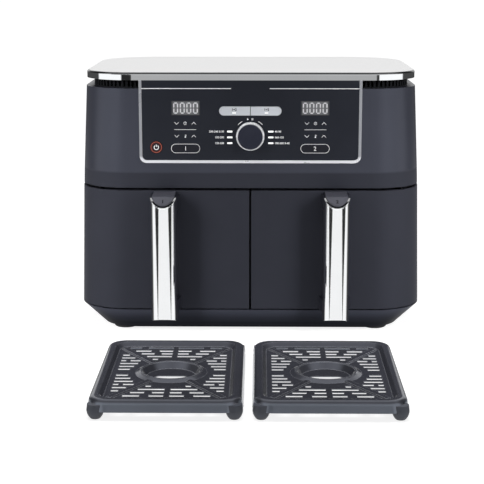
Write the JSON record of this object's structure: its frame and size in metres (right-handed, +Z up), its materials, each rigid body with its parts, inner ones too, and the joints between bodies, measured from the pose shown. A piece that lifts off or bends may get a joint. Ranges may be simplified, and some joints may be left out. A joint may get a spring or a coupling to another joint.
{
  "type": "twin-drawer air fryer",
  "caption": "Worktop air fryer with side-by-side pull-out baskets, a control panel with a push dial, fan-heated chambers, and loose slotted crisper plates set down in front.",
  "frame": {"origin": "on the worktop, under the middle of the machine and the plates in front of it", "axes": "+X to the user's right, +Y to the back of the machine, +Z up"},
  "size_m": [0.431, 0.632, 0.325],
  "materials": {
    "housing_plastic": "charcoal, fine matt texture",
    "frame_plastic": "black, moulded",
    "base_plastic": "black, moulded",
    "foot_rubber": "black, matt",
    "lid_steel": "brushed top with a polished edge",
    "screw_steel": "dark zinc plated",
    "deck_steel": "zinc-coated sheet",
    "circuit_board": "green board with parts",
    "probe_steel": "plain",
    "switch_plastic": "black, moulded",
    "panel_gloss": "near-black gloss",
    "bright_trim": "satin silver",
    "display_window": "smoked grey window",
    "lamp_white": "white light guide",
    "shaft_steel": "ground",
    "dial_plastic": "dark satin",
    "key_gloss": "near-black gloss",
    "bar_silver": "silver grey satin",
    "drawer_plastic": "charcoal, fine matt texture",
    "panel_plastic": "black, moulded",
    "basket_coating": "dark non-stick coating",
    "handle_plastic": "black, moulded",
    "handle_chrome": "bright plated",
    "liner_steel": "aluminised sheet",
    "heater_steel": "dull, heat tinted",
    "motor_steel": "plated can",
    "fan_aluminium": "plain sheet",
    "plate_coating": "dark grey semi-gloss non-stick coating",
    "bumper_silicone": "dark grey silicone"
  },
  "bodies": {
    "housing": {"outer_housing": "housing_plastic", "front_frame": "frame_plastic", "rear_cover": "frame_plastic", "base_pan": "base_plastic", "vent_collar": "base_plastic", "rubber_feet": "foot_rubber", "cord_gland": "foot_rubber", "top_cover": "lid_steel", "housing_screws": "screw_steel", "inner_deck": "deck_steel", "power_board": "circuit_board", "control_board": "circuit_board", "temperature_probes": "probe_steel", "drawer_switches": "switch_plastic", "dial_encoder": "switch_plastic", "control_fascia": "panel_gloss", "panel_trim": "bright_trim", "time_displays": "display_window", "mode_lights": "lamp_white", "left_chamber": "liner_steel", "right_chamber": "liner_steel", "left_heater": "heater_steel", "left_heater_guard": "heater_steel", "right_heater": "heater_steel", "right_heater_guard": "heater_steel", "left_motor": "motor_steel", "right_motor": "motor_steel"},
    "left_drawer": {"left_drawer_front": "drawer_plastic", "left_drawer_panel": "panel_plastic", "left_basket": "basket_coating", "left_handle_core": "handle_plastic", "left_handle_cap": "handle_plastic", "left_handle_cover": "handle_chrome", "left_handle_screws": "screw_steel"},
    "left_plate": {"left_crisper_plate": "plate_coating", "left_plate_bumpers": "bumper_silicone"},
    "left_fan": {"left_motor_shaft": "shaft_steel", "left_hot_fan": "fan_aluminium", "left_cooling_fan": "fan_aluminium"},
    "left_zone_key": {"left_zone_button": "key_gloss"},
    "right_drawer": {"right_drawer_front": "drawer_plastic", "right_drawer_panel": "panel_plastic", "right_basket": "basket_coating", "right_handle_core": "handle_plastic", "right_handle_cap": "handle_plastic", "right_handle_cover": "handle_chrome", "right_handle_screws": "screw_steel"},
    "right_plate": {"right_crisper_plate": "plate_coating", "right_plate_bumpers": "bumper_silicone"},
    "right_fan": {"right_motor_shaft": "shaft_steel", "right_hot_fan": "fan_aluminium", "right_cooling_fan": "fan_aluminium"},
    "right_zone_key": {"right_zone_button": "key_gloss"},
    "dial_press": {"start_plunger": "switch_plastic"},
    "dial": {"dial_shaft": "shaft_steel", "dial_knob": "dial_plastic", "dial_ring": "bright_trim"},
    "power_key": {"power_button": "key_gloss"},
    "sync_key": {"sync_button": "bar_silver"},
    "match_key": {"match_button": "bar_silver"}
  },
  "joints": [
    {"name": "left_drawer_slide", "type": "slide", "parent": "housing", "child": "left_drawer", "axis": [0, -1, 0], "range_m": [0, 0.24]},
    {"name": "left_plate_slide", "type": "slide", "parent": "housing", "child": "left_plate", "axis": [0, -1, 0], "range_m": [0, 0.2]},
    {"name": "left_fan_spin", "type": "hinge", "parent": "housing", "child": "left_fan", "pos_m": [-0.104, 0.174, 0.24], "axis": [0, 0, 1], "continuous": true},
    {"name": "right_drawer_slide", "type": "slide", "parent": "housing", "child": "right_drawer", "axis": [0, -1, 0], "range_m": [0, 0.24]},
    {"name": "right_plate_slide", "type": "slide", "parent": "housing", "child": "right_plate", "axis": [0, -1, 0], "range_m": [0, 0.2]},
    {"name": "right_fan_spin", "type": "hinge", "parent": "housing", "child": "right_fan", "pos_m": [0.104, 0.174, 0.24], "axis": [0, 0, 1], "continuous": true},
    {"name": "left_zone_key_push", "type": "slide", "parent": "housing", "child": "left_zone_key", "axis": [0, 1, 0], "range_m": [0, 0.001], "stiffness_N_per_m": 300, "springref_m": -0.001},
    {"name": "right_zone_key_push", "type": "slide", "parent": "housing", "child": "right_zone_key", "axis": [0, 1, 0], "range_m": [0, 0.001], "stiffness_N_per_m": 300, "springref_m": -0.001},
    {"name": "power_key_push", "type": "slide", "parent": "housing", "child": "power_key", "axis": [0, 1, 0], "range_m": [0, 0.001], "stiffness_N_per_m": 300, "springref_m": -0.001},
    {"name": "sync_key_push", "type": "slide", "parent": "housing", "child": "sync_key", "axis": [0, 1, 0], "range_m": [0, 0.001], "stiffness_N_per_m": 300, "springref_m": -0.001},
    {"name": "match_key_push", "type": "slide", "parent": "housing", "child": "match_key", "axis": [0, 1, 0], "range_m": [0, 0.001], "stiffness_N_per_m": 300, "springref_m": -0.001},
    {"name": "dial_push", "type": "slide", "parent": "housing", "child": "dial_press", "axis": [0, 1, 0], "range_m": [0, 0.0012], "stiffness_N_per_m": 600, "springref_m": -0.001},
    {"name": "dial_turn", "type": "hinge", "parent": "dial_press", "child": "dial", "pos_m": [0, 0.024, 0.2468], "axis": [0, -1, 0], "continuous": true}
  ]
}
